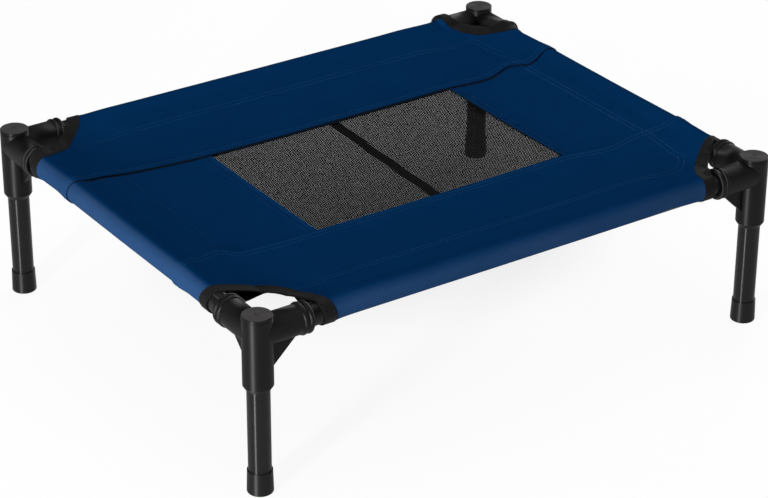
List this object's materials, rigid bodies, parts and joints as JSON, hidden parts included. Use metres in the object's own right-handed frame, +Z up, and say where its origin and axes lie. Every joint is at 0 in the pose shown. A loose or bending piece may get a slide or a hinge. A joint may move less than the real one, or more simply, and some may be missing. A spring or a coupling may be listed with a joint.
{
  "type": "raised pet cot",
  "caption": "Raised rectangular pet cot: navy fabric cover with a black mesh window, sleeved over steel tube rails in moulded corner connectors that stand on push-in legs.",
  "frame": {"origin": "on the floor under the middle of the cot", "axes": "+X along the long side, +Y along the short side away from the picture's viewpoint, +Z up"},
  "size_m": [0.6138, 0.4978, 0.185],
  "materials": {
    "connector_plastic": "satin moulded black",
    "cap_plastic": "satin moulded black",
    "tube_steel": "black powder coat, half gloss",
    "foot_plastic": "satin moulded black",
    "cover_fabric": "coated navy oxford weave",
    "window_mesh": "open black mesh",
    "binding_tape": "ribbed black tape"
  },
  "bodies": {
    "frame_and_cover": {"connector_front_left": "connector_plastic", "connector_front_right": "connector_plastic", "connector_back_left": "connector_plastic", "connector_back_right": "connector_plastic", "cap_front_left": "cap_plastic", "cap_front_right": "cap_plastic", "cap_back_left": "cap_plastic", "cap_back_right": "cap_plastic", "rail_front": "tube_steel", "rail_back": "tube_steel", "rail_left": "tube_steel", "rail_right": "tube_steel", "side_panel_front": "cover_fabric", "side_panel_back": "cover_fabric", "end_panel_left": "cover_fabric", "end_panel_right": "cover_fabric", "mesh_window": "window_mesh", "centre_tape": "binding_tape", "binding_front_left": "binding_tape", "binding_front_right": "binding_tape", "binding_back_left": "binding_tape", "binding_back_right": "binding_tape"},
    "leg_assembly_front_left": {"leg_front_left": "tube_steel", "foot_front_left": "foot_plastic"},
    "leg_assembly_front_right": {"leg_front_right": "tube_steel", "foot_front_right": "foot_plastic"},
    "leg_assembly_back_left": {"leg_back_left": "tube_steel", "foot_back_left": "foot_plastic"},
    "leg_assembly_back_right": {"leg_back_right": "tube_steel", "foot_back_right": "foot_plastic"}
  },
  "joints": [
    {"name": "leg_front_left_pull_out", "type": "slide", "parent": "frame_and_cover", "child": "leg_assembly_front_left", "axis": [0, 0, -1], "range_m": [0, 0.045]},
    {"name": "leg_front_right_pull_out", "type": "slide", "parent": "frame_and_cover", "child": "leg_assembly_front_right", "axis": [0, 0, -1], "range_m": [0, 0.045]},
    {"name": "leg_back_left_pull_out", "type": "slide", "parent": "frame_and_cover", "child": "leg_assembly_back_left", "axis": [0, 0, -1], "range_m": [0, 0.045]},
    {"name": "leg_back_right_pull_out", "type": "slide", "parent": "frame_and_cover", "child": "leg_assembly_back_right", "axis": [0, 0, -1], "range_m": [0, 0.045]}
  ]
}
